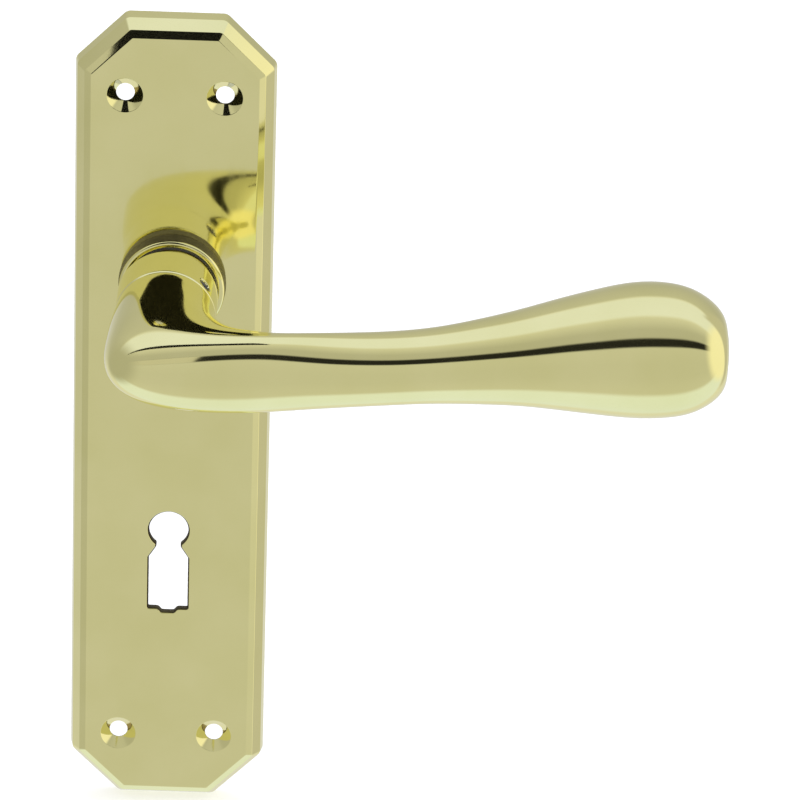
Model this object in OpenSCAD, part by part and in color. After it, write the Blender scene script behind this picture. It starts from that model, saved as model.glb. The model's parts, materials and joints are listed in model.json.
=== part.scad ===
// Lever handle on a long octagonal backplate, for a door with a lever mortice lock.
// Millimetres. +Z is up, the handle faces -Y, the lever points along +X.
// The back of the plate lies on the door in the plane y = 0, and the spindle axis is the Y axis.

/* [Backplate] */
// Width of the backplate
plate_w = 41.3; // [38.3:0.5:46.3]
// Height of the backplate
plate_h = 180; // [176:1:190]
// How far the middle of the plate sits below the spindle
plate_drop = 32; // [30:1:34]
// How far the flat front face stands off the door
plate_d = 6.4; // [6.4:0.05:6.7]
// Thickness of the hollow plate behind its face
plate_wall = 1.6; // [1.5:0.1:1.7]
// Width of the rim that lies on the door
rim_w = 3.2; // [3:0.1:3.6]
// Length of each clipped corner along an edge
corner_cut = 10.4; // [8:0.1:11]
// Draft of the side wall, measured across
draft_w = 0.5; // [0.3:0.1:0.6]
// Height of the side wall off the door
draft_h = 2.8; // [2.6:0.1:2.9]
// Sloped border inside the wall, measured across
bevel_w = 1.65; // [1.5:0.05:1.9]
// Sloped border inside the wall, measured in depth
bevel_d = 2.75; // [2.6:0.05:2.8]
// Softened edge of the face, measured across
roll_w = 1.4; // [1.2:0.1:1.6]
// Side-to-side distance of the fixing holes
hole_gap_x = 20.4; // [20:0.2:22]
// Top-to-bottom distance of the fixing holes
hole_gap_z = 147.5; // [146:0.5:150]
// Radius of a fixing hole
hole_r = 1.9; // [1.8:0.05:2.1]
// Radius of its countersink at the face
sink_r = 3.75; // [3.5:0.05:4]
// Depth of the countersink
sink_d = 2; // [1.8:0.1:2]

/* [Keyhole] */
// Distance from the spindle down to the keyhole
key_drop = 57; // [57:1:57]
// Radius of the round part
key_r = 4.5; // [4.2:0.1:5]
// Half width of the waist
key_waist = 2.9; // [2.6:0.1:3.2]
// Half width of the lower slot
key_half = 4.5; // [4.2:0.1:5]
// Length from the centre of the round part to the foot
key_len = 18.8; // [17.8:0.5:20.3]

/* [Lever] */
// Radius of the neck
neck_r = 10.4; // [10.3:0.1:10.5]
// Radius of the shank that turns in the bush
shank_r = 7.5; // [7.3:0.1:7.6]
// Angle the handle is pushed down
travel = 42; // [36:1:42]
// Length of the spindle behind the door face
spindle_out = 52; // [40:1:60]
// Square spindle, across flats
spindle_af = 8; // [8:1:8]

/* [Hidden] */
$fn = 64;
inner_d = plate_d - plate_wall;
floor_d = inner_d - 0.62;
slip_d = floor_d - 0.28;
cam_d = slip_d - 1;
cover_d = 0.55;
cover_t = 0.55;
bush_d = plate_d + 2.4;
collar_d = plate_d + 3.5;
collar_r = 11.15;
neck_x = -0.6;
neck_z = -0.35;
run = 0.06;
cage_r = 15.5;
ear_z = 18.2;
pin_ring = 12.4;
tab_half = 14;
tab_at = 100;
pin_half = 7.8;
grub_at = 50;
grub_d = 20.3;
coil_r = 11;
wire_r = 0.4;
tail_at = -32;
post_at = -12.2;
post_ring = 13;
drive_at = 200;
drive_ring = 12.3;
coil_sweep = tail_at + 720 - drive_at + 2.2;

// Plan stations of the lever: inner x, inner y, outer x, outer y, half height, height of its middle.
ways = [
  [  9.75, -22.0, -10.95, -22.0, 10.20, -0.35],
  [  9.80, -23.6, -11.05, -23.8, 10.19, -0.35],
  [ 10.00, -26.0, -11.40, -27.2, 10.06, -0.40],
  [ 10.60, -29.0, -11.80, -32.1,  9.82, -0.48],
  [ 11.80, -32.0, -12.00, -38.0,  9.55, -0.57],
  [ 14.00, -34.8, -11.80, -43.8,  9.30, -0.66],
  [ 17.00, -37.2,  -9.90, -48.9,  9.07, -0.70],
  [ 20.50, -38.9,  -5.00, -52.3,  8.86, -0.71],
  [ 24.50, -39.9,   2.50, -53.8,  8.68, -0.66],
  [ 28.20, -40.8,  12.50, -53.6,  8.48, -0.53],
  [ 33.50, -40.4,  22.50, -52.9,  8.20, -0.28],
  [ 40.10, -38.8,  32.90, -52.6,  7.82, -0.05],
  [ 47.20, -37.0,  43.80, -51.8,  7.60,  0.10],
  [ 55.10, -34.7,  53.90, -50.3,  7.80,  0.20],
  [ 62.90, -31.4,  64.10, -48.6,  8.65,  0.20],
  [ 70.60, -27.6,  73.90, -47.1,  9.85,  0.15],
  [ 78.60, -23.7,  82.40, -46.2, 11.45,  0.10],
  [ 86.60, -20.1,  89.90, -45.6, 12.90,  0.00],
  [ 93.60, -17.8,  96.90, -45.2, 13.85,  0.00],
  [100.20, -17.2, 102.80, -44.6, 13.80,  0.00],
  [105.80, -18.3, 107.70, -43.5, 12.70,  0.00],
  [110.00, -20.4, 111.50, -41.7, 10.40,  0.00],
  [112.70, -23.4, 113.80, -39.0,  7.50,  0.00],
  [113.90, -27.0, 114.20, -35.4,  4.00,  0.00]
];

brass = [0.80, 0.74, 0.45];
steel = [0.62, 0.63, 0.65];
nylon = [0.90, 0.89, 0.85];

// Draws a shape made in plan, x right, y up, z away from the door.
module on_door() {
  rotate([90, 0, 0]) children();
}

module ring(r_out, r_in, from_d, to_d) {
  translate([0, 0, from_d])
    difference() {
      cylinder(r = r_out, h = to_d - from_d);
      translate([0, 0, -1]) cylinder(r = r_in, h = to_d - from_d + 2);
    }
}

module polar(angle, radius) {
  rotate([0, 0, angle]) translate([radius, 0, 0]) children();
}

// Octagon with clipped corners, inset all round.
module plate_outline(inset) {
  w = plate_w / 2 - inset;
  h = plate_h / 2 - inset;
  c = corner_cut - inset * (2 - sqrt(2));
  polygon([
    [w, -h + c], [w, h - c], [w - c, h], [c - w, h],
    [-w, h - c], [-w, c - h], [c - w, -h], [w - c, -h]
  ]);
}

// Takes a slope off one side, from a distance off the middle and a height off the door.
module slope_cut(distance, turn, from_d, wide, deep) {
  rotate([0, 0, turn])
    translate([distance, 0, from_d])
    rotate([0, -atan(wide / deep), 0])
    translate([0, -plate_h, -3])
    cube([8, plate_h * 2, 16]);
}

module side_cuts(distance, turn) {
  slope_cut(distance, turn, 0, draft_w, draft_h);
  slope_cut(distance - draft_w, turn, draft_h, bevel_w, bevel_d);
  slope_cut(distance - draft_w - bevel_w, turn, draft_h + bevel_d, roll_w, plate_d - draft_h - bevel_d);
}

module plate_blank() {
  clip = (plate_w / 2 + plate_h / 2 - corner_cut) / sqrt(2);
  difference() {
    linear_extrude(plate_d) plate_outline(0);
    for (a = [0, 180]) side_cuts(plate_w / 2, a);
    for (a = [90, 270]) side_cuts(plate_h / 2, a);
    for (a = [45, 135, 225, 315]) side_cuts(clip, a);
  }
}

module keyhole_cut() {
  translate([0, -key_drop, -1]) {
    cylinder(r = key_r, h = plate_d + 2);
    linear_extrude(plate_d + 2)
      polygon([
        [-key_waist, 0], [key_waist, 0], [key_waist, -3.9], [key_half, -6.4],
        [key_half, 0.5 - key_len], [key_half - 0.5, -key_len], [2.1, -key_len],
        [1.5, -key_len - 0.9], [-1.5, -key_len - 0.9], [-2.1, -key_len],
        [0.5 - key_half, -key_len], [-key_half, 0.5 - key_len], [-key_half, -6.4],
        [-key_waist, -3.9]
      ]);
  }
}

module fixing_hole() {
  translate([0, 0, -1]) cylinder(r = hole_r, h = plate_d + 2);
  translate([0, 0, plate_d - sink_d]) cylinder(r1 = hole_r, r2 = sink_r, h = sink_d);
  translate([0, 0, plate_d]) cylinder(r = sink_r, h = 1);
}

module backplate() {
  color(brass) on_door() difference() {
    union() {
      translate([0, -plate_drop, 0])
        difference() {
          plate_blank();
          translate([0, 0, -1]) linear_extrude(inner_d + 1) plate_outline(rim_w);
        }
      for (s = [-1, 1])
        translate([0, s * ear_z, inner_d - 2.2]) cylinder(r = 2.1, h = 2.4);
      for (x = [-0.5, 0.5], z = [-0.5, 0.5])
        translate([x * hole_gap_x, z * hole_gap_z - plate_drop, inner_d - 0.6]) cylinder(r = 4.8, h = 0.8);
    }
    translate([0, 0, -1]) cylinder(r = 9, h = plate_d + 2);
    for (s = [-1, 1])
      translate([0, s * ear_z, inner_d - 3]) cylinder(r = 1, h = 3.4);
    for (x = [-0.5, 0.5], z = [-0.5, 0.5])
      translate([x * hole_gap_x, z * hole_gap_z - plate_drop, 0]) fixing_hole();
    keyhole_cut();
  }
}

module neck_collar() {
  color(brass) on_door()
    rotate_extrude()
    polygon([
      [8.3, inner_d + 0.02], [8.96, inner_d + 0.02], [8.96, plate_d + 0.02], [collar_r, plate_d + 0.02],
      [collar_r - 0.2, collar_d - 0.7], [collar_r - 0.42, collar_d - 0.22], [collar_r - 0.9, collar_d],
      [9.75, collar_d], [9.6, collar_d - 0.15], [9.6, bush_d], [8.3, bush_d]
    ]);
}

module neck_bush() {
  color(nylon) on_door() {
    ring(8.28, shank_r + run, floor_d + 0.02, bush_d);
    ring(8.7, shank_r + run, floor_d + 0.02, inner_d - 0.04);
  }
}

module spring_housing() {
  color(steel) on_door() difference() {
    union() {
      translate([0, 0, cover_d + cover_t + 0.02]) cylinder(r = cage_r, h = inner_d - cover_d - cover_t - 0.04);
      for (s = [-1, 1])
        translate([0, s * ear_z, inner_d - 2.86]) cylinder(r = 2.8, h = 0.6);
      for (s = [-1, 1])
        translate([-2.8, s > 0 ? 14 : -ear_z, inner_d - 2.86]) cube([5.6, ear_z - 14, 0.6]);
    }
    translate([0, 0, -1]) cylinder(r = cage_r - 0.6, h = floor_d + 1);
    cylinder(r = 8.74, h = plate_d);
    for (s = [-1, 1])
      translate([0, s * ear_z, 0]) cylinder(r = 1.3, h = plate_d);
  }
}

module housing_cover() {
  color(steel) on_door() difference() {
    union() {
      translate([0, 0, cover_d]) cylinder(r = cage_r, h = cover_t);
      for (a = [30, 150, 270])
        polar(a, cage_r - 1.05) translate([0, -1.5, cover_d + 0.1]) cube([0.3, 3, 1.3]);
    }
    cylinder(r = shank_r + 0.25, h = plate_d);
  }
}

module housing_screws() {
  color(steel) on_door()
    for (s = [-1, 1])
      translate([0, s * ear_z, inner_d - 2.9])
        difference() {
          union() {
            translate([0, 0, -1]) cylinder(r = 2.1, h = 1);
            cylinder(r = 0.98, h = 2.7);
          }
          translate([-0.25, -3, -1.5]) cube([0.5, 6, 1]);
        }
}

module stop_pins() {
  color(steel) on_door()
    for (a = [tab_at + tab_half + pin_half, tab_at - travel - tab_half - pin_half])
      polar(a, pin_ring) translate([0, 0, slip_d - 1.3]) cylinder(r = 0.9, h = floor_d - slip_d + 1.28);
}

module stop_sleeves() {
  color(nylon) on_door()
    for (a = [tab_at + tab_half + pin_half, tab_at - travel - tab_half - pin_half])
      polar(a, pin_ring) ring(1.5, 0.92, slip_d - 1.2, floor_d - 0.04);
}

module spring_post() {
  color(steel) on_door()
    polar(post_at, post_ring) {
      translate([0, 0, cover_d + cover_t + 0.1]) cylinder(r = 0.7, h = floor_d - cover_d - cover_t - 0.12);
      translate([0, 0, cover_d + cover_t + 0.1]) cylinder(r = 0.8, h = 0.25);
    }
}

// Catmull-Rom value between b and c.
function blend(a, b, c, d, t) =
  0.5 * (2 * b + (c - a) * t + (2 * a - 5 * b + 4 * c - d) * t * t
    + (3 * b - a - 3 * c + d) * t * t * t);

function station(k) =
  let (last = len(ways) - 1, i = min(floor(k / 2), last - 1), t = k / 2 - i)
  blend(ways[max(i - 1, 0)], ways[i], ways[i + 1], ways[min(i + 2, last)], t);

// One elliptical section between an inner and an outer plan point.
function ring_points(s, sides) = [
  for (j = [0 : sides - 1])
    let (
      a = j * 360 / sides,
      middle = [s[0] + s[2], s[1] + s[3]] / 2,
      half = [s[0] - s[2], s[1] - s[3]] / 2
    )
    [middle.x + cos(a) * half.x, middle.y + cos(a) * half.y, s[5] + sin(a) * s[4]]
];

// Skin over a stack of rings, each with the same number of points.
module skin(rings) {
  n = len(rings[0]);
  m = len(rings);
  points = [for (r = rings, p = r) p];
  walls = [
    for (i = [0 : m - 2], j = [0 : n - 1], h = [0, 1])
      let (a = i * n + j, b = i * n + (j + 1) % n)
      h == 0 ? [a, b + n, b] : [a, a + n, b + n]
  ];
  polyhedron(
    points = points,
    faces = concat(
      [[for (j = [0 : n - 1]) j]],
      walls,
      [[for (j = [n - 1 : -1 : 0]) (m - 1) * n + j]]
    )
  );
}

module grip() {
  skin([for (k = [0 : 2 * (len(ways) - 1)]) ring_points(station(k), 28)]);
}

module shank() {
  rotate_extrude()
    polygon([
      [0, -1.2], [7.2, -1.2], [shank_r, -0.9], [shank_r, 10], [9.3, 10], [9.3, 12.6],
      [9.2, 24.2], [0, 24.2]
    ]);
}

module neck() {
  translate([neck_x, neck_z, 0])
    rotate_extrude()
    polygon([
      [0, 12.4], [neck_r - 0.35, 12.4], [neck_r, 12.75], [neck_r, 22.3], [neck_r - 0.2, 22.7],
      [0, 22.9]
    ]);
}

module lever() {
  color(brass) difference() {
    union() {
      grip();
      on_door() shank();
      on_door() neck();
    }
    on_door() {
      translate([-spindle_af / 2 - 0.05, -spindle_af / 2 - 0.05, -2])
        cube([spindle_af + 0.1, spindle_af + 0.1, 27]);
      for (s = [-1, 1])
        translate([-12, s > 0 ? 6.4 : -16.4, -2]) cube([24, 10, slip_d + 2]);
      ring(9, 6.6, -0.48, 0.1);
      translate([0, 0, grub_d]) rotate([0, 90, 90 - grub_at]) cylinder(r = 1.55, h = 14);
    }
  }
}

module grub_screw() {
  color(steel) on_door()
    translate([0, 0, grub_d]) rotate([0, 90, 90 - grub_at])
      difference() {
        translate([0, 0, 5.6]) cylinder(r = 1.5, h = 3.8);
        translate([0, 0, 7.9]) cylinder(r = 0.87, h = 2, $fn = 6);
      }
}

module spindle() {
  h = spindle_af / 2;
  color(steel) on_door()
    translate([0, 0, -spindle_out])
    linear_extrude(spindle_out + 24.6)
    polygon([
      [h - 0.4, -h], [h, 0.4 - h], [h, h - 0.4], [h - 0.4, h],
      [0.4 - h, h], [-h, h - 0.4], [-h, 0.4 - h], [0.4 - h, -h]
    ]);
}

module thrust_washer() {
  color(nylon) on_door() ring(9.3, shank_r + 0.03, bush_d + 0.08, 9.96);
}

module keyed_bore(to_d) {
  intersection() {
    cylinder(r = shank_r + 0.04, h = to_d);
    translate([-12, -6.44, 0]) cube([24, 12.88, to_d]);
  }
}

module drive_cam() {
  color(steel) on_door() difference() {
    translate([0, 0, cam_d])
      union() {
        cylinder(r = 10.3, h = 0.94);
        intersection() {
          cylinder(r = 14.2, h = 0.94);
          linear_extrude(0.94)
            polygon([
              [0, 0],
              [20 * cos(tab_at - tab_half), 20 * sin(tab_at - tab_half)],
              [20 * cos(tab_at), 20 * sin(tab_at)],
              [20 * cos(tab_at + tab_half), 20 * sin(tab_at + tab_half)]
            ]);
        }
        polar(drive_at, drive_ring - 0.9) cylinder(r = 1.8, h = 0.94);
      }
    keyed_bore(plate_d);
    polar(drive_at, drive_ring) cylinder(r = 0.46, h = plate_d);
  }
}

module drive_pin() {
  color(steel) on_door()
    polar(drive_at, drive_ring)
      translate([0, 0, cam_d - 1.2]) cylinder(r = 0.44, h = 2.1);
}

module slip_washer() {
  color(nylon) on_door() ring(10, shank_r + 0.03, slip_d, floor_d - 0.04);
}

module spring_sleeve() {
  color(nylon) on_door() difference() {
    translate([0, 0, cover_d + cover_t + 0.1]) cylinder(r = 10.3, h = cam_d - cover_d - cover_t - 0.14);
    keyed_bore(plate_d);
  }
}

// The wire runs from the post into the coil, then bends out in front of the drive pin.
function coil_point(a, low, high) =
  [coil_r * cos(a), coil_r * sin(a), low + (high - low) * (tail_at - a) / coil_sweep];

function wire_ring(p, dir, sides) =
  let (up = cross(dir, [0, 0, 1]))
  [for (j = [0 : sides - 1]) p + wire_r * (cos(j * 360 / sides) * [0, 0, 1] + sin(j * 360 / sides) * up)];

module return_spring() {
  low = cover_d + cover_t + 0.55;
  high = cam_d - wire_r - 0.06;
  stop = tail_at - coil_sweep;
  start = coil_point(tail_at, low, high);
  finish = coil_point(stop, low, high);
  along = [sin(stop), -cos(stop), 0];
  out = [cos(stop), sin(stop), 0];
  tail = [for (l = [5.4, 2.7]) start + l * [-sin(tail_at), cos(tail_at), 0]];
  color(steel) on_door()
    skin(concat(
      [for (p = tail) wire_ring(p, [sin(tail_at), -cos(tail_at), 0], 10)],
      [for (k = [0 : 40])
        let (a = tail_at - coil_sweep * k / 40)
        wire_ring(coil_point(a, low, high), [sin(a), -cos(a), 0], 10)],
      [wire_ring(finish + 0.36 * along + 0.16 * out, (along + out) / sqrt(2), 10)],
      [for (l = [0.6, 2.2]) wire_ring(finish + 0.5 * along + l * out, out, 10)]
    ));
}

module dished_washer() {
  color(steel) on_door()
    rotate_extrude()
    polygon([[7.62, 0.12], [7.62, 0.26], [9.3, 0.34], [9.3, 0.2]]);
}

module backing_washer() {
  color(steel) on_door() ring(10.6, shank_r + 0.08, 0.36, cover_d - 0.03);
}

module retaining_circlip() {
  color(steel) on_door() difference() {
    ring(8.6, 6.65, -0.44, 0.06);
    polar(-90, 7.6) translate([-3, -1.3, -1]) cube([6, 2.6, 2]);
  }
}

backplate();
neck_collar();
neck_bush();
spring_housing();
housing_cover();
housing_screws();
stop_pins();
stop_sleeves();
spring_post();
lever();
grub_screw();
spindle();
thrust_washer();
drive_cam();
drive_pin();
slip_washer();
spring_sleeve();
return_spring();
dished_washer();
backing_washer();
retaining_circlip();
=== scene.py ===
import json
import math

import bmesh
import bpy
import numpy as np
from mathutils import Matrix, Vector


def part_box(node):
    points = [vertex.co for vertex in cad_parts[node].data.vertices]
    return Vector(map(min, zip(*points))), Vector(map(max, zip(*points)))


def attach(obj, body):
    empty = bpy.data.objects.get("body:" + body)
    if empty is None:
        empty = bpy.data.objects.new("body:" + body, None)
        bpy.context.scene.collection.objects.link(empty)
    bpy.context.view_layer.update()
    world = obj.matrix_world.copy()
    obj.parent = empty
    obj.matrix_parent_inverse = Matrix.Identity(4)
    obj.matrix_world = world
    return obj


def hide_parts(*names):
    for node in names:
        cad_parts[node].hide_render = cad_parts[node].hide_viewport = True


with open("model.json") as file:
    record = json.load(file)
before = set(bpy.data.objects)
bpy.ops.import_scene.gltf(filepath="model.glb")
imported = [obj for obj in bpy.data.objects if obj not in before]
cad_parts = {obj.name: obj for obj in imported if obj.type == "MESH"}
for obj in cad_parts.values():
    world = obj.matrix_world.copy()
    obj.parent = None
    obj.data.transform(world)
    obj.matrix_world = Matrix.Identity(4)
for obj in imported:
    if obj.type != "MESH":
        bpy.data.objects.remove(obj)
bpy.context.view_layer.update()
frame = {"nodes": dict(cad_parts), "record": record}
MM = 0.001

# ---------------------------------------------------------------- sizes
# Millimetres. "up" is height above the spindle axis, "depth" is distance out of the door.

plate_lo, plate_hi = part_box("backplate")
collar_lo, collar_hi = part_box("neck_collar")
bush_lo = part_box("neck_bush")[0]
mounts = {m["name"]: m for m in frame["record"]["mounts"]}

HALF_W = (plate_hi.x - plate_lo.x) / 2 / MM
HALF_H = (plate_hi.z - plate_lo.z) / 2 / MM
PLATE_UP = (plate_hi.z + plate_lo.z) / 2 / MM
PLATE_D = -plate_lo.y / MM
INNER_D = PLATE_D - 1.6
RIM_W = 3.2
CORNER_CUT = 10.4
# Corners of the plate's edge: (inset from the rim, depth).
DRAFT = (0.5, 2.8)
BEVEL = (DRAFT[0] + 1.65, DRAFT[1] + 2.75)
ROLL = (BEVEL[0] + 1.4, PLATE_D)
BORE_R = 9.0
BOSS_R, BOSS_D = 4.8, INNER_D - 0.6
EAR_UP, EAR_R, EAR_D, EAR_HOLE_R = 18.2, 2.1, INNER_D - 2.2, 1.0
KEY_UP = mounts["keyhole"]["pos_m"][2] / MM
KEY_R, KEY_WAIST, KEY_HALF, KEY_LEN = 4.5, 2.9, 4.5, 18.8
KEY_DIP = (2.1, 1.5, 0.9)    # half width at the top, half width at the bottom, depth
KEY_TAPER = (0.35, 0.45)     # the hole narrows by the first within the second behind the face
holes = mounts["fixing_screws"]["dims"]
HOLE_GAP = (holes["spacing_x_mm"], holes["spacing_y_mm"])
HOLE_R, SINK_R, SINK_D = holes["hole_r_mm"], 3.75, 2.0

COLLAR_D = -collar_lo.y / MM
COLLAR_R = collar_hi.x / MM
CUP_D = -bush_lo.y / MM
NECK_R, NECK_X, NECK_UP = 10.4, -0.6, -0.35
NECK_START, NECK_END = 12.4, 22.7
SHANK_R, SHANK_START, FLAT_UP = 7.5, -1.2, 6.4
SEAT_R, SEAT_D = 9.3, 10.0
GROOVE_R, GROOVE_START, GROOVE_END = 6.6, -0.48, 0.1
SLIP_D = INNER_D - 0.9
GRUB_TURN, GRUB_DEPTH, GRUB_R = math.radians(40), 20.3, 1.55
SQUARE = 4.05
SIDES = 96

# Plan stations of the grip: inner x, inner y, outer x, outer y, half height, height of its middle.
WAYS = np.array([
    (9.75, -22.8, -10.95, -22.8, 10.2, -0.35),
    (9.8, -23.6, -11.05, -23.8, 10.19, -0.35),
    (10.0, -26.0, -11.4, -27.2, 10.06, -0.4),
    (10.6, -29.0, -11.8, -32.1, 9.82, -0.48),
    (11.8, -32.0, -12.0, -38.0, 9.55, -0.57),
    (14.0, -34.8, -11.8, -43.8, 9.3, -0.66),
    (17.0, -37.2, -9.9, -48.9, 9.07, -0.7),
    (20.5, -38.9, -5.0, -52.3, 8.86, -0.71),
    (24.5, -39.9, 2.5, -53.8, 8.68, -0.66),
    (28.2, -40.8, 12.5, -53.6, 8.48, -0.53),
    (33.5, -40.4, 22.5, -52.9, 8.2, -0.28),
    (40.1, -38.8, 32.9, -52.6, 7.82, -0.05),
    (47.2, -37.0, 43.8, -51.8, 7.6, 0.1),
    (55.1, -34.7, 53.9, -50.3, 7.8, 0.2),
    (62.9, -31.4, 64.1, -48.6, 8.65, 0.2),
    (70.6, -27.6, 73.9, -47.1, 9.85, 0.15),
    (78.6, -23.7, 82.4, -46.2, 11.45, 0.1),
    (86.6, -20.1, 89.9, -45.6, 12.9, 0.0),
    (93.6, -17.8, 96.9, -45.2, 13.85, 0.0),
    (100.2, -17.2, 102.8, -44.6, 13.8, 0.0),
    (105.8, -18.3, 107.7, -43.5, 12.7, 0.0),
    (110.0, -20.4, 111.5, -41.7, 10.4, 0.0),
    (112.7, -23.4, 113.8, -39.0, 7.5, 0.0),
    (113.9, -27.0, 114.2, -35.4, 4.0, 0.0),
])

# ---------------------------------------------------------------- outlines


def unit(v):
    return v / np.linalg.norm(v)


def rounded(points, radii, steps=4, closed=True, ease=0.0):
    """A polyline with its corners turned into arcs. ease adds a point on the straight beside each arc."""
    points = [np.array(p, float) for p in points]
    out = []
    for i, p in enumerate(points):
        if radii[i] == 0 or (not closed and i in (0, len(points) - 1)):
            out.append(p)
            continue
        a = unit(points[i - 1] - p)
        b = unit(points[(i + 1) % len(points)] - p)
        half = math.acos(max(-1.0, min(1.0, float(a @ b)))) / 2
        reach = radii[i] / math.tan(half)
        centre = p + unit(a + b) * radii[i] / math.sin(half)
        start, end = p + a * reach - centre, p + b * reach - centre
        a0 = math.atan2(start[1], start[0])
        sweep = (math.atan2(end[1], end[0]) - a0 + math.pi) % (2 * math.pi) - math.pi
        if ease:
            out.append(p + a * (reach + ease))
        for k in range(steps + 1):
            t = a0 + sweep * k / steps
            out.append(centre + radii[i] * np.array([math.cos(t), math.sin(t)]))
        if ease:
            out.append(p + b * (reach + ease))
    return out


def octagon(inset, corner_r):
    w, h = HALF_W - inset, HALF_H - inset
    c = CORNER_CUT - inset * (2 - math.sqrt(2))
    corners = [
        (w, -h + c), (w, h - c), (w - c, h), (c - w, h),
        (-w, h - c), (-w, c - h), (c - w, -h), (w - c, -h)]
    return [(x, y + PLATE_UP) for x, y in rounded(corners, [corner_r] * 8, steps=5)]


def circle(x, up, r, count=64):
    angles = np.linspace(0, 2 * math.pi, count, endpoint=False)
    return [(x + r * math.cos(a), up + r * math.sin(a)) for a in angles]


def keyhole(grow):
    """The keyhole's outline, grown outwards into the plate."""
    turn = math.asin(math.sqrt(KEY_R ** 2 - KEY_WAIST ** 2) / KEY_R)
    arc = [(KEY_R * math.cos(a), KEY_R * math.sin(a)) for a in np.linspace(-turn, math.pi + turn, 41)]
    wide, narrow, deep = KEY_DIP
    right = [
        (narrow, -KEY_LEN - deep), (wide, -KEY_LEN), (KEY_HALF, -KEY_LEN),
        (KEY_HALF, -6.4), (KEY_WAIST, -3.9)]
    left = [(-x, y) for x, y in reversed(right)]
    radii = [0.9, 0.8, 0.6, 0.8, 0.5]
    line = rounded(arc + left + right, [0] * len(arc) + radii[::-1] + radii)
    out = []
    for i, p in enumerate(line):
        d0 = unit(p - line[i - 1])
        d1 = unit(line[(i + 1) % len(line)] - p)
        side = unit(np.array([d0[1] + d1[1], -d0[0] - d1[0]]))
        out.append(p + side * grow / max(0.5, float(side @ np.array([d0[1], -d0[0]]))))
    return [(x, up + KEY_UP) for x, up in out]


# ---------------------------------------------------------------- meshes


class Shell:
    """A mesh built from loops of points, in millimetres: across, up, and depth out of the door."""

    def __init__(self):
        self.bm = bmesh.new()

    def loop(self, outline, depth):
        return [self.bm.verts.new((x * MM, -depth * MM, up * MM)) for x, up in outline]

    def ring(self, points):
        return [self.bm.verts.new(Vector(p) * MM) for p in points]

    def bridge(self, a, b, slot=0):
        n = len(a)
        for i in range(n):
            self.bm.faces.new((a[i], a[(i + 1) % n], b[(i + 1) % n], b[i])).material_index = slot

    def stack(self, rings, slots=None):
        for k in range(len(rings) - 1):
            self.bridge(rings[k], rings[k + 1], slots[k] if slots else 0)

    def fill(self, loops, slot=0):
        edges = []
        for loop in loops:
            for i, v in enumerate(loop):
                pair = (v, loop[(i + 1) % len(loop)])
                edges.append(self.bm.edges.get(pair) or self.bm.edges.new(pair))
        made = bmesh.ops.triangle_fill(self.bm, edges=edges, use_beauty=True, use_dissolve=False)
        for f in made["geom"]:
            if isinstance(f, bmesh.types.BMFace):
                f.material_index = slot

    def finish(self, name, materials):
        bmesh.ops.recalc_face_normals(self.bm, faces=self.bm.faces)
        mesh = bpy.data.meshes.new(name)
        self.bm.to_mesh(mesh)
        self.bm.free()
        for m in materials:
            mesh.materials.append(m)
        mesh.shade_smooth()
        piece = bpy.data.objects.new(name, mesh)
        bpy.context.scene.collection.objects.link(piece)
        return piece


def lathe(shell, profile, slots, sides=SIDES):
    """Closed profile of (radius, depth) turned about the spindle axis."""
    rings = [shell.loop(circle(0, 0, r, sides), depth) for r, depth in profile]
    shell.stack(rings + rings[:1], slots)


def natural_spline(rows, per_span):
    """Smooth curve through the rows, with knots spaced by the distance between them."""
    gap = np.linalg.norm(np.diff(rows[:, :4], axis=0), axis=1)
    n = len(rows)
    grid, right = np.eye(n), np.zeros_like(rows)
    for i in range(1, n - 1):
        grid[i, i - 1:i + 2] = gap[i - 1], 2 * (gap[i - 1] + gap[i]), gap[i]
        right[i] = 6 * ((rows[i + 1] - rows[i]) / gap[i] - (rows[i] - rows[i - 1]) / gap[i - 1])
    bend = np.linalg.solve(grid, right)
    out = []
    for i in range(n - 1):
        for t in np.linspace(0, 1, per_span, endpoint=False):
            a, b, h = 1 - t, t, gap[i]
            out.append(a * rows[i] + b * rows[i + 1]
                       + ((a ** 3 - a) * bend[i] + (b ** 3 - b) * bend[i + 1]) * h * h / 6)
    return out + [rows[-1]]


# ---------------------------------------------------------------- materials


def material(name):
    m = bpy.data.materials.new(name)
    m.use_nodes = True
    nodes = m.node_tree.nodes
    return m, nodes, m.node_tree.links, nodes["Principled BSDF"]


def noise(nodes, links, coords, scale, detail, stretch=(1, 1, 1)):
    mapping = nodes.new("ShaderNodeMapping")
    mapping.inputs["Scale"].default_value = stretch
    links.new(coords, mapping.inputs["Vector"])
    tex = nodes.new("ShaderNodeTexNoise")
    tex.inputs["Scale"].default_value = scale
    tex.inputs["Detail"].default_value = detail
    links.new(mapping.outputs["Vector"], tex.inputs["Vector"])
    return tex.outputs["Fac"]


def spread(nodes, links, value, low, high, lo_in=0.3, hi_in=0.7):
    r = nodes.new("ShaderNodeMapRange")
    r.inputs["From Min"].default_value = lo_in
    r.inputs["From Max"].default_value = hi_in
    r.inputs["To Min"].default_value = low
    r.inputs["To Max"].default_value = high
    links.new(value, r.inputs["Value"])
    return r.outputs["Result"]


def tint(nodes, links, value, dark, light):
    ramp = nodes.new("ShaderNodeValToRGB")
    ramp.color_ramp.elements[0].color = (*dark, 1)
    ramp.color_ramp.elements[1].color = (*light, 1)
    ramp.color_ramp.elements[0].position = 0.3
    ramp.color_ramp.elements[1].position = 0.7
    links.new(value, ramp.inputs["Fac"])
    return ramp.outputs["Color"]


def bump(nodes, links, shader, layers):
    """layers: (height, distance in metres), stacked from coarse to fine."""
    last = None
    for height, distance in layers:
        b = nodes.new("ShaderNodeBump")
        b.inputs["Strength"].default_value = 1.0
        b.inputs["Distance"].default_value = distance
        links.new(height, b.inputs["Height"])
        if last:
            links.new(last, b.inputs["Normal"])
        last = b.outputs["Normal"]
    links.new(last, shader.inputs["Normal"])


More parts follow.
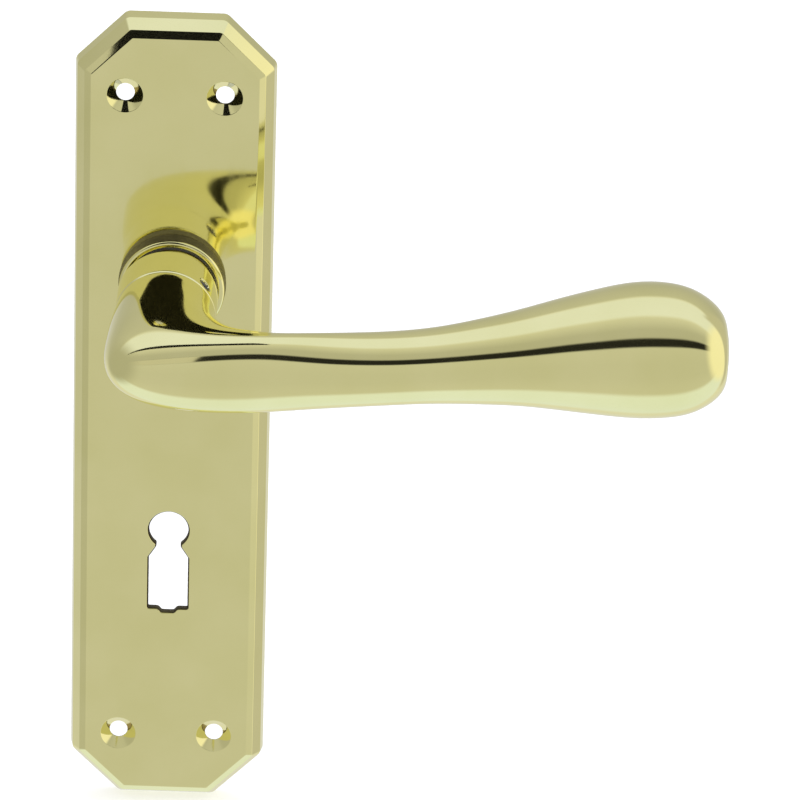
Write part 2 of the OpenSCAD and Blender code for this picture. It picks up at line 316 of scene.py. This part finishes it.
def polished_brass(name, along, rough=(0.045, 0.085)):
    """Lacquered brass with the fine marks of the mop running one way."""
    m, nodes, links, shader = material(name)
    coords = nodes.new("ShaderNodeTexCoord").outputs["Object"]
    shader.inputs["Metallic"].default_value = 1.0
    cloud = noise(nodes, links, coords, 60, 3)
    marks = noise(nodes, links, coords, 900, 4, along)
    colour = tint(nodes, links, cloud, (0.90, 0.855, 0.40), (0.95, 0.90, 0.45))
    links.new(colour, shader.inputs["Base Color"])
    links.new(spread(nodes, links, marks, *rough), shader.inputs["Roughness"])
    wave = noise(nodes, links, coords, 32, 1)
    bump(nodes, links, shader, [(wave, 0.00006), (marks, 0.0000012)])
    return m


def cast_back_and_painted_shade(name, dark=(0.50, 0.40, 0.21), light=(0.72, 0.61, 0.34)):
    """An unpolished part of the casting. With the darker colours given for the collar's flank and the hole
    walls, it is painted shade.
    """
    m, nodes, links, shader = material(name)
    coords = nodes.new("ShaderNodeTexCoord").outputs["Object"]
    shader.inputs["Metallic"].default_value = 1.0
    grain = noise(nodes, links, coords, 1800, 6)
    cloud = noise(nodes, links, coords, 90, 5)
    links.new(tint(nodes, links, cloud, dark, light), shader.inputs["Base Color"])
    links.new(spread(nodes, links, grain, 0.38, 0.6), shader.inputs["Roughness"])
    bump(nodes, links, shader, [(cloud, 0.0003), (grain, 0.00008)])
    return m


def steel(name, dark, light, rough, stretch, blotch):
    m, nodes, links, shader = material(name)
    coords = nodes.new("ShaderNodeTexCoord").outputs["Object"]
    shader.inputs["Metallic"].default_value = 1.0
    cloud = noise(nodes, links, coords, blotch, 4)
    marks = noise(nodes, links, coords, 1200, 4, stretch)
    links.new(tint(nodes, links, cloud, dark, light), shader.inputs["Base Color"])
    links.new(spread(nodes, links, marks, *rough), shader.inputs["Roughness"])
    bump(nodes, links, shader, [(marks, 0.00001)])
    return m


def moulding(name, dark, light):
    m, nodes, links, shader = material(name)
    coords = nodes.new("ShaderNodeTexCoord").outputs["Object"]
    cloud = noise(nodes, links, coords, 150, 3)
    grain = noise(nodes, links, coords, 2500, 3)
    shader.inputs["Subsurface Weight"].default_value = 0.1
    shader.inputs["Subsurface Scale"].default_value = 0.001
    links.new(tint(nodes, links, cloud, dark, light), shader.inputs["Base Color"])
    links.new(spread(nodes, links, grain, 0.35, 0.5), shader.inputs["Roughness"])
    bump(nodes, links, shader, [(grain, 0.00002)])
    return m


BRASS_PLATE = polished_brass("brass_plate", (1, 1, 0.06))
BRASS_GRIP = polished_brass("brass_grip", (0.06, 1, 1))
BRASS_TURNED = polished_brass("brass_turned", (0.3, 1, 0.3), (0.05, 0.1))
BRASS_BACK = cast_back_and_painted_shade("brass_back")
# Painted shade: a dark brass on the collar's outer side wall, standing in for the shade between the bead
# and the plate.
BRASS_FLANK_PAINTED_SHADE = cast_back_and_painted_shade("brass_flank_painted_shade", (0.17, 0.15, 0.09), (0.30, 0.27, 0.16))
# Painted shade: a near-black brass for the hole walls behind the countersinks and behind the keyhole's
# face.
BRASS_BORE_PAINTED_SHADE = cast_back_and_painted_shade("brass_bore_painted_shade", (0.05, 0.042, 0.025), (0.13, 0.11, 0.06))
ZINC = steel("zinc_plate", (0.50, 0.51, 0.50), (0.68, 0.68, 0.62), (0.24, 0.4), (1, 1, 1), 260)
BRIGHT = steel("bright_steel", (0.60, 0.61, 0.62), (0.74, 0.75, 0.76), (0.18, 0.3), (1, 0.05, 1), 120)
DARK_STEEL = steel("blued_steel", (0.10, 0.10, 0.11), (0.20, 0.20, 0.21), (0.25, 0.4), (1, 1, 1), 200)
NYLON = moulding("nylon", (0.80, 0.78, 0.71), (0.88, 0.87, 0.82))
# Painted shade: the near-black nylon of the thrust washer stands in for the shade in the gap between the
# collar and the lever's neck.
NYLON_PAINTED_SHADE = moulding("dark_nylon", (0.030, 0.029, 0.026), (0.06, 0.058, 0.052))

# ---------------------------------------------------------------- backplate


def build_backplate():
    s = Shell()
    edge = rounded(
        [(RIM_W + 1.2, INNER_D), (RIM_W, INNER_D), (RIM_W, 0), (0, 0),
         DRAFT, BEVEL, ROLL, (ROLL[0] + 1.2, PLATE_D)],
        [0, 0.5, 0.2, 0.25, 0.3, 0.22, 0.55, 0], closed=False, ease=0.04)
    rings = []
    for inset, depth in edge:
        corner_r = max(0.45, 2.0 - 0.45 * inset)
        rings.append(s.loop(octagon(inset, corner_r), depth))
    unpolished_rings = 14
    s.stack(rings, [1 if k < unpolished_rings else 0 for k in range(len(rings) - 1)])
    front, floor = [rings[-1]], [rings[0]]

    def cut(shape, profile, radii, painted_shade_below=-1.0):
        """A hole through the plate; profile is (growth, depth) from front to back. Walls deeper than the
        given depth get the near-black bore brass, which is painted shade.
        """
        path = rounded(profile, radii, closed=False, ease=0.02)
        loops = [s.loop(shape(g), d) for g, d in path]
        s.stack(loops, [2 if depth < painted_shade_below else 0 for _, depth in path[1:]])
        front.append(loops[0])
        floor.append(loops[-1])

    for x in (-HOLE_GAP[0] / 2, HOLE_GAP[0] / 2):
        for up in (-HOLE_GAP[1] / 2, HOLE_GAP[1] / 2):
            cut(lambda g, x=x, up=up: circle(x, up + PLATE_UP, g),
                [(SINK_R + 0.4, PLATE_D), (SINK_R, PLATE_D), (HOLE_R, PLATE_D - SINK_D), (HOLE_R, BOSS_D),
                 (BOSS_R, BOSS_D), (BOSS_R, INNER_D), (BOSS_R + 0.4, INNER_D)],
                [0, 0.14, 0.03, 0.1, 0.2, 0.2, 0], painted_shade_below=PLATE_D - SINK_D - 0.05)
    cut(lambda g: circle(0, 0, g, SIDES),
        [(BORE_R + 0.5, PLATE_D), (BORE_R, PLATE_D), (BORE_R, INNER_D), (BORE_R + 0.5, INNER_D)],
        [0, 0.1, 0.1, 0])
    taper, taper_d = KEY_TAPER
    cut(keyhole,
        [(0.35, PLATE_D), (0, PLATE_D), (-taper, PLATE_D - taper_d), (-taper, INNER_D), (0, INNER_D)],
        [0, 0.2, 0.2, 0.15, 0], painted_shade_below=PLATE_D - 0.1)
    for up in (-EAR_UP, EAR_UP):
        path = rounded(
            [(EAR_R + 0.6, INNER_D), (EAR_R, INNER_D), (EAR_R, EAR_D), (EAR_HOLE_R, EAR_D),
             (EAR_HOLE_R, INNER_D + 0.4)],
            [0, 0.25, 0.15, 0.1, 0], closed=False, ease=0.02)
        loops = [s.loop(circle(0, up, r, 40), d) for r, d in path]
        s.stack(loops, [1] * (len(loops) - 1))
        s.fill([loops[-1]], 1)
        floor.append(loops[0])
    s.fill(front)
    s.fill(floor, 1)
    return s.finish("backplate_casting", [BRASS_PLATE, BRASS_BACK, BRASS_BORE_PAINTED_SHADE])


# ---------------------------------------------------------------- lever


def turned(angle, r, depth, flat):
    """A point on the shank, flattened above and below at a height of flat."""
    return (r * math.cos(angle), -depth, max(-flat, min(flat, r * math.sin(angle))))


def necked(angle, r, depth):
    """A point on the neck, whose middle sits a little off the spindle axis."""
    return (NECK_X + r * math.cos(angle), -depth, NECK_UP + r * math.sin(angle))


def section(row, angles, shrink=1.0, push=0.0):
    """An elliptical section of the grip at one of its stations."""
    ix, iy, ox, oy, half, up = row
    return [
        ((ix + ox) / 2 + push + math.cos(a) * (ix - ox) / 2 * shrink,
         (iy + oy) / 2 + math.cos(a) * (iy - oy) / 2 * shrink,
         up + math.sin(a) * half * shrink) for a in angles]


def build_lever():
    s = Shell()
    step = 2 * math.pi / SIDES
    angles = [GRUB_TURN + step * j for j in range(SIDES)]
    end_r = 6.3
    shank = rounded(
        [(end_r, SHANK_START), (SHANK_R, SHANK_START), (SHANK_R, GROOVE_START), (GROOVE_R, GROOVE_START),
         (GROOVE_R, GROOVE_END), (SHANK_R, GROOVE_END), (SHANK_R, SLIP_D)],
        [0, 0.25, 0.08, 0.04, 0.04, 0.08, 0], closed=False)
    neck = rounded(
        [(SHANK_R, SLIP_D + 0.01), (SHANK_R, SEAT_D), (SEAT_R, SEAT_D), (SEAT_R, NECK_START),
         (SEAT_R + 0.1, NECK_START)],
        [0, 0.2, 0.15, 0.02, 0], closed=False, ease=0.02)
    flare = rounded(
        [(SEAT_R + 0.1, NECK_START), (NECK_R, NECK_START), (NECK_R, 14)],
        [0, 0.4, 0], closed=False, ease=0.02)
    rings = [s.ring([turned(a, r, d, FLAT_UP) for a in angles]) for r, d in shank]
    rings += [s.ring([turned(a, r, d, r) for a in angles]) for r, d in neck]
    rings += [s.ring([necked(a, r, d) for a in angles]) for r, d in flare[2:]]
    s.stack(rings)
    end_ring = rings[0]

    # The neck's wall is a grid, so the grub screw's hole can take the place of a block of it.
    block, pitch = 2, NECK_R * step * 1.35
    rows = [rings[-1]]
    for k in range(-block - 3, block + 1):
        rows.append(s.ring([necked(a, NECK_R, GRUB_DEPTH + k * pitch) for a in angles]))
    first = 4
    for k in range(len(rows) - 1):
        for j in range(SIDES):
            inside = first <= k < first + 2 * block and (j + block) % SIDES < 2 * block
            if not inside:
                n = (j + 1) % SIDES
                s.bm.faces.new((rows[k][j], rows[k][n], rows[k + 1][n], rows[k + 1][j]))
    rim = [rows[first][j] for j in range(-block, block)]
    rim += [rows[k][block] for k in range(first, first + 2 * block)]
    rim += [rows[first + 2 * block][j] for j in range(block, -block, -1)]
    rim += [rows[k][-block] for k in range(first + 2 * block, first, -1)]

    def around_hole(r, sink):
        out = []
        for v in rim:
            x, y, z = v.co / MM
            across = (math.atan2(z - NECK_UP, x - NECK_X) - GRUB_TURN) * NECK_R
            turn = math.atan2(-y - GRUB_DEPTH, across)
            a = GRUB_TURN + r * math.cos(turn) / NECK_R
            out.append(necked(a, NECK_R - sink, GRUB_DEPTH + r * math.sin(turn)))
        return s.ring(out)

    softened = ((0.16, 0), (0.11, 0.012), (0.04, 0.06), (0, 0.15), (0, 2.5))
    hole = [rim] + [around_hole(GRUB_R + grow, sink) for grow, sink in softened]
    s.stack(hole)
    s.fill([hole[-1]])

    step_edge = rounded(
        [(NECK_R, GRUB_DEPTH + block * pitch), (NECK_R, NECK_END - 0.3), (NECK_R - 0.2, NECK_END),
         (NECK_R - 0.2, NECK_END + 0.09)],
        [0, 0.3, 0.1, 0], closed=False)
    rings = [rows[-1]] + [s.ring([necked(a, r, d) for a in angles]) for r, d in step_edge[1:-1]]
    rings += [s.ring(section(row, angles)) for row in natural_spline(WAYS, 7)]
    crown = 0.3
    for k in range(1, 6):
        turn = k * math.pi / 11
        rings.append(s.ring(section(WAYS[-1], angles, math.cos(turn), crown * math.sin(turn))))
    s.stack(rings)
    s.fill([rings[-1]])

    # The shank's end, with the square socket in it.
    mouth = [(SQUARE, -SQUARE), (SQUARE, SQUARE), (-SQUARE, SQUARE), (-SQUARE, -SQUARE)]
    mouths = [s.loop(mouth, d) for d in (SHANK_START, 6.0)]
    s.stack(mouths)
    s.fill([end_ring, mouths[0]])
    s.fill([mouths[1]])
    return s.finish("lever_body", [BRASS_GRIP])


# ---------------------------------------------------------------- collar, grub screw, spring


def build_collar():
    s = Shell()
    inner, seat, cup = 8.3, 8.96, 9.6
    profile = rounded(
        [(inner, CUP_D), (inner, INNER_D + 0.02), (seat, INNER_D + 0.02), (seat, PLATE_D + 0.02),
         (COLLAR_R, PLATE_D + 0.02), (COLLAR_R - 0.25, COLLAR_D), (cup, COLLAR_D), (cup, CUP_D)],
        [0.1, 0.1, 0.1, 0.02, 0.08, 0.75, 0.25, 0.1], steps=8, ease=0.02)
    # The collar's outer side wall takes the dark flank brass, which is painted shade.
    flank = [r > COLLAR_R - 0.26 and PLATE_D < depth < COLLAR_D for r, depth in profile]
    lathe(s, profile, [1 if a and b else 0 for a, b in zip(flank, flank[1:] + flank[:1])])
    return s.finish("collar_bead", [BRASS_TURNED, BRASS_FLANK_PAINTED_SHADE])


def build_grub_screw():
    s = Shell()
    foot, head, hex_r, hex_foot = 5.6, 9.4, 0.87, 7.9
    root_r, crest_r = 1.24, 1.47
    sides = 48
    thread = 0.35
    path = [(0.9, foot), (root_r - 0.04, foot + 0.3)]
    turns = int((head - foot - 2 * thread) / thread)
    for k in range(turns):
        path += [(root_r, foot + (k + 1) * thread), (crest_r, foot + (k + 1.5) * thread)]
    path += [(crest_r, head - 0.18), (crest_r - 0.15, head)]
    angles = np.linspace(0, 2 * math.pi, sides, endpoint=False)
    rings = [s.ring([(r * math.cos(a), r * math.sin(a), h) for a in angles]) for r, h in path]
    s.stack(rings)
    s.fill([rings[0]])

    def hexagon(height, r):
        out = []
        for a in angles:
            part = (a + math.pi / 6) % (math.pi / 3) - math.pi / 6
            reach = r * math.cos(math.pi / 6) / math.cos(part)
            out.append((reach * math.cos(a), reach * math.sin(a), height))
        return s.ring(out)

    socket = [hexagon(head, hex_r + 0.08), hexagon(head - 0.08, hex_r), hexagon(hex_foot, hex_r)]
    s.stack([rings[-1]] + socket)
    s.fill([socket[-1]])
    piece = s.finish("grub_screw_hex", [DARK_STEEL])
    out = Vector((math.cos(GRUB_TURN), 0, math.sin(GRUB_TURN)))
    turn = out.to_track_quat("Z", "Y").to_matrix().to_4x4()
    piece.data.transform(Matrix.Translation((0, -GRUB_DEPTH * MM, 0)) @ turn)
    return piece


# ---------------------------------------------------------------- put together

pieces = [
    (build_backplate(), "plate", ["backplate"], "polished_brass"),
    (build_lever(), "handle", ["lever"], "polished_brass"),
    (build_collar(), "plate", ["neck_collar"], "polished_brass"),
    (build_grub_screw(), "handle", ["grub_screw"], "bright_steel"),
]
for piece, body, nodes_replaced, slot_name in pieces:
    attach(piece, body)
    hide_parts(*nodes_replaced)

finishes = {"plated_steel": ZINC, "bright_steel": BRIGHT, "nylon": NYLON, "dark_nylon": NYLON_PAINTED_SHADE}
slots = {p["node"]: p["material_slot"] for p in frame["record"]["subparts"]}
replaced = {n for _, _, names, _ in pieces for n in names}
for name, node in frame["nodes"].items():
    if name in replaced:
        continue
    node.data.materials.clear()
    node.data.materials.append(finishes[slots[name]])
    if name == "return_spring":
        node.data.shade_smooth()
        continue
    chamfer = node.modifiers.new("edges", "BEVEL")
    chamfer.width = 0.00006
    chamfer.segments = 2
    chamfer.limit_method = "ANGLE"
    chamfer.angle_limit = math.radians(40)
    chamfer.harden_normals = True

# ---------------------------------------------------------------- floor, light, camera


def build_floor():
    size, low = 3.0, plate_lo.z - 0.0002
    mesh = bpy.data.meshes.new("floor")
    corners = [(-size, -size, low), (size, -size, low), (size, size, low), (-size, size, low)]
    mesh.from_pydata(corners, [], [(0, 1, 2, 3)])
    floor = bpy.data.objects.new("floor", mesh)
    bpy.context.scene.collection.objects.link(floor)
    m, nodes, links, shader = material("floor_paper")
    coords = nodes.new("ShaderNodeTexCoord").outputs["Object"]
    grain = noise(nodes, links, coords, 40, 4)
    colour = tint(nodes, links, grain, (0.93, 0.93, 0.93), (0.95, 0.95, 0.95))
    links.new(colour, shader.inputs["Base Color"])
    shader.inputs["Roughness"].default_value = 0.9
    mesh.materials.append(m)
    floor.visible_glossy = False


def build_card():
    """A black card in front of the elbow and above it. Only reflections show it."""
    left, right, low, high = -0.070, 0.024, 0.044, 0.25
    depth = -0.057
    mesh = bpy.data.meshes.new("black_card")
    corners = [(left, depth, low), (right, depth, low), (right, depth, high), (left, depth, high)]
    mesh.from_pydata(corners, [], [(0, 1, 2, 3)])
    card = bpy.data.objects.new("black_card", mesh)
    bpy.context.scene.collection.objects.link(card)
    m, nodes, links, shader = material("card_felt")
    coords = nodes.new("ShaderNodeTexCoord").outputs["Object"]
    nap = noise(nodes, links, coords, 900, 3)
    colour = tint(nodes, links, nap, (0.010, 0.010, 0.011), (0.016, 0.016, 0.017))
    links.new(colour, shader.inputs["Base Color"])
    shader.inputs["Roughness"].default_value = 1.0
    shader.inputs["Specular IOR Level"].default_value = 0.0
    mesh.materials.append(m)
    card.visible_camera = False
    card.visible_diffuse = False
    card.visible_shadow = False


def build_world():
    """A soft studio: brightness by angle from straight ahead (-Y) over the top, then the two sides."""
    world = bpy.data.worlds.new("studio")
    bpy.context.scene.world = world
    world.use_nodes = True
    nodes, links = world.node_tree.nodes, world.node_tree.links
    back = nodes["Background"]

    def calc(op, a, b=0.0):
        n = nodes.new("ShaderNodeMath")
        n.operation = op
        for socket, value in zip(n.inputs, (a, b)):
            if isinstance(value, (int, float)):
                socket.default_value = value
            else:
                links.new(value, socket)
        return n.outputs[0]

    xyz = nodes.new("ShaderNodeSeparateXYZ")
    links.new(nodes.new("ShaderNodeTexCoord").outputs["Generated"], xyz.inputs[0])
    x, y, z = xyz.outputs
    angle = calc("ARCTAN2", z, calc("MULTIPLY", y, -1.0))
    turn = calc("ADD", calc("DIVIDE", angle, 2 * math.pi), 0.5)
    ramp = nodes.new("ShaderNodeValToRGB")
    links.new(turn, ramp.inputs["Fac"])
    bands = [
        (-180, 0.50), (-150, 0.72), (-95, 0.80), (-72, 0.78), (-57, 0.62), (-25, 0.585),
        (0, 0.58), (28, 0.60), (31, 0.02), (43, 0.02), (46, 0.48), (60, 0.49),
        (80, 0.66), (92, 0.8), (122, 0.8), (130, 0.55), (165, 0.48), (180, 0.50)]
    stops = ramp.color_ramp.elements
    while len(stops) < len(bands):
        stops.new(0.5)
    for stop, (degrees, value) in zip(stops, bands):
        stop.position = 0.5 + degrees / 360
        stop.color = (value, value, value, 1)

    def panel(base, amount, colour):
        mix = nodes.new("ShaderNodeMix")
        mix.data_type = "RGBA"
        links.new(amount, mix.inputs[0])
        links.new(base, mix.inputs[6])
        mix.inputs[7].default_value = (*colour, 1)
        return mix.outputs[2]

    def ease(value, low, high):
        r = nodes.new("ShaderNodeMapRange")
        r.interpolation_type = "SMOOTHSTEP"
        r.inputs["From Min"].default_value = low
        r.inputs["From Max"].default_value = high
        links.new(value, r.inputs["Value"])
        return r.outputs["Result"]

    azimuth = calc("ARCTAN2", x, calc("MULTIPLY", y, -1.0))

    def window(low, high, soft):
        """1 between two angles in degrees, 0 outside them."""
        low, high, soft = math.radians(low), math.radians(high), math.radians(soft)
        return calc("MULTIPLY", ease(angle, low - soft, low + soft), ease(angle, high + soft, high - soft))

    sky = panel(ramp.outputs["Color"], window(84, 125, 4), (0.80, 0.84, 1.0))
    sky = panel(sky, window(-110, -60, 6), (0.80, 0.88, 1.05))
    line_end = calc("MULTIPLY", window(29, 45, 0.57), ease(azimuth, -0.06, -0.1))
    sky = panel(sky, line_end, (0.58, 0.57, 0.55))
    sky = panel(sky, ease(x, 0.74, 0.9), (0.98, 0.94, 0.84))
    right_rear = calc("MULTIPLY", ease(x, 0.6, 0.72), ease(y, 0.25, 0.38))
    sky = panel(sky, right_rear, (0.56, 0.55, 0.54))
    sky = panel(sky, ease(calc("MULTIPLY", x, -1.0), 0.6, 0.9), (0.46, 0.46, 0.45))
    links.new(sky, back.inputs["Color"])
    back.inputs["Strength"].default_value = 1.0


def build_key_light():
    light = bpy.data.lights.new("overhead", "SUN")
    light.energy = 2.2
    light.angle = math.radians(60)
    light.use_shadow = False
    lamp = bpy.data.objects.new("overhead", light)
    bpy.context.scene.collection.objects.link(lamp)
    lamp.rotation_euler = (math.radians(20), 0, 0)
    lamp.visible_glossy = False


def build_camera():
    """A long lens, looking down at the handle from about 25 degrees above."""
    cam = bpy.data.cameras.new("camera")
    cam.lens = 288.26
    cam.sensor_width = 36
    cam.clip_end = 20
    camera = bpy.data.objects.new("camera", cam)
    bpy.context.scene.collection.objects.link(camera)
    place = Vector((0.05435, -1.21261, 0.5459))
    forward = Vector((-0.0049, 0.9039, -0.4277)).normalized()
    right = Vector((0.9994, 0.0188, 0.0283))
    right = (right - forward * right.dot(forward)).normalized()
    up = right.cross(forward)
    turn = Matrix((right, up, -forward)).transposed().to_4x4()
    camera.matrix_world = Matrix.Translation(place) @ turn
    bpy.context.scene.camera = camera


build_floor()
build_card()
build_world()
build_key_light()
build_camera()
bpy.context.scene.view_settings.view_transform = "Standard"
